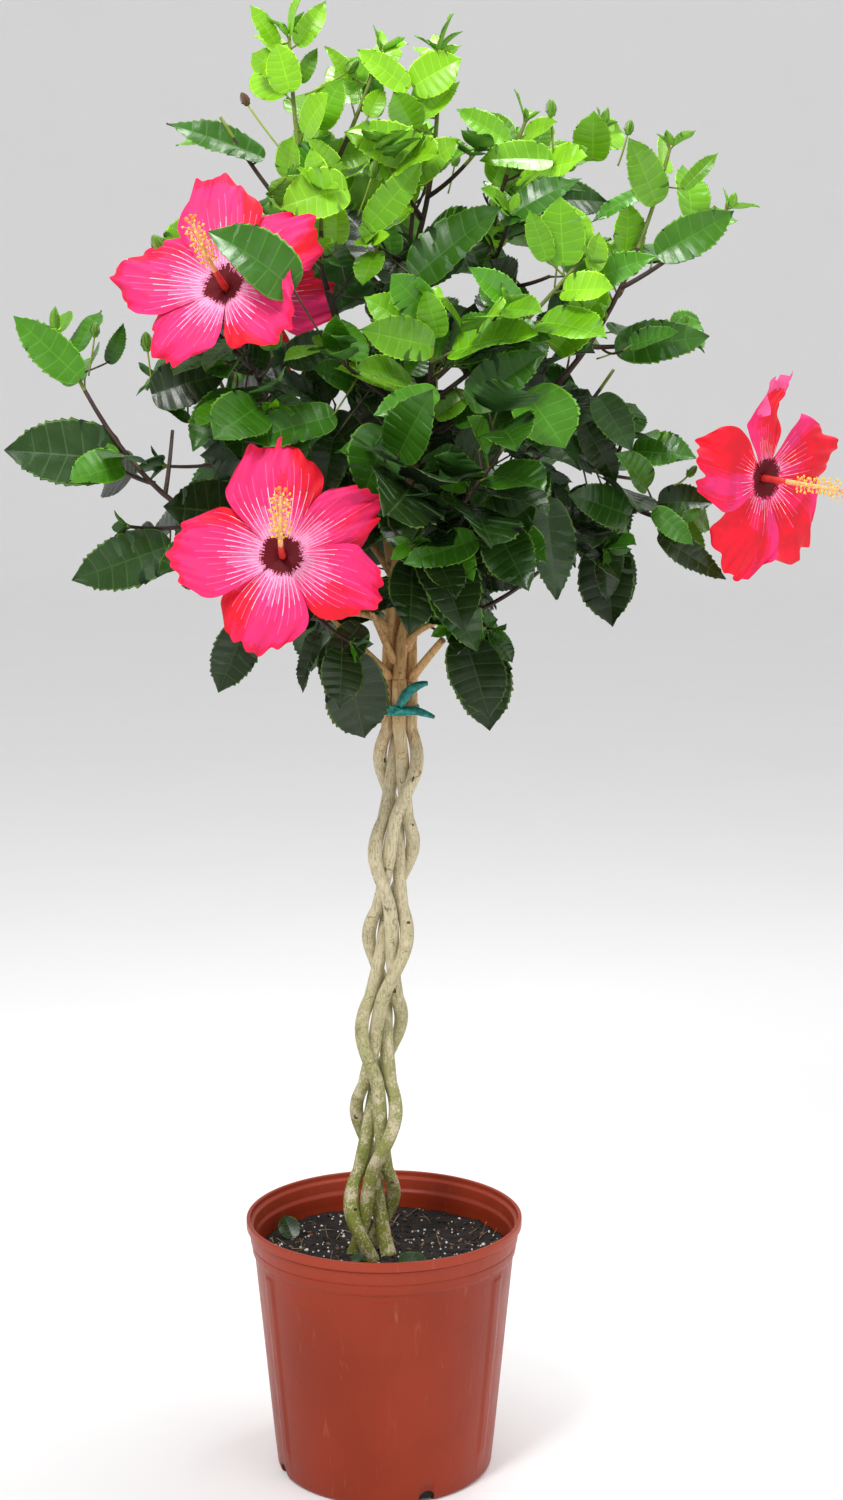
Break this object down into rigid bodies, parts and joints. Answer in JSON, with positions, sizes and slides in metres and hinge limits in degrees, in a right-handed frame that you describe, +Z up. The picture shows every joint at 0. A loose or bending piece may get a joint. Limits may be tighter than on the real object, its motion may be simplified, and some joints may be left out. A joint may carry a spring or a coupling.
{
  "type": "potted hibiscus standard",
  "caption": "Hibiscus grown as a small standard tree: plaited stems, a round leafy top with large open pink-red flowers, in a round nursery pot.",
  "frame": {"origin": "centre of the pot's underside", "axes": "+Z up along the stems, +X to the right when the plant is seen from its front, -Y towards the viewer at the front"},
  "size_m": [0.7351, 0.4848, 1.3341],
  "materials": {
    "pot_plastic": "moulded polypropylene, terracotta red, satin",
    "potting_mix": "loose composted bark and peat with white perlite",
    "tie_tape": "stretch tie tape, teal",
    "stem_bark": "smooth pale bark with knots and a green bloom near the foot",
    "bough_bark": "tan bark that darkens towards the young wood",
    "leaves": "glossy dark green leaf",
    "young_leaves": "soft bright green leaf with a yellow-green edge",
    "petals": "pink-red petal with pale veins and a dark eye"
  },
  "bodies": {
    "root": {"pot": "pot_plastic", "potting_mix": "potting_mix", "tie_tape": "tie_tape", "stem_left": "stem_bark", "stem_front": "stem_bark", "stem_right": "stem_bark", "stem_back": "stem_bark", "bough_left": "bough_bark", "bough_front": "bough_bark", "bough_right": "bough_bark", "bough_back": "bough_bark", "bough_upper_left": "bough_bark", "bough_lower_left": "bough_bark", "bough_front_left": "bough_bark", "bough_centre": "bough_bark", "bough_top_right": "bough_bark", "bough_mid_front": "bough_bark", "bough_lower_right": "bough_bark", "bough_front_right": "bough_bark", "bough_back_left": "bough_bark", "bough_back_right": "bough_bark", "bough_low_back": "bough_bark", "foliage_top_left": "young_leaves", "foliage_top": "young_leaves", "foliage_top_right": "young_leaves", "foliage_right_top": "young_leaves", "foliage_back_top": "young_leaves", "foliage_upper_left": "leaves", "foliage_left": "leaves", "foliage_front_left": "leaves", "foliage_front_upper": "leaves", "foliage_front": "leaves", "foliage_right": "leaves", "foliage_front_right": "leaves", "foliage_back_left": "leaves", "foliage_back_right": "leaves", "foliage_low_back": "leaves", "bloom_upper_left": "petals", "bloom_front": "petals", "bloom_right": "petals", "bloom_back": "petals"}
  },
  "joints": []
}
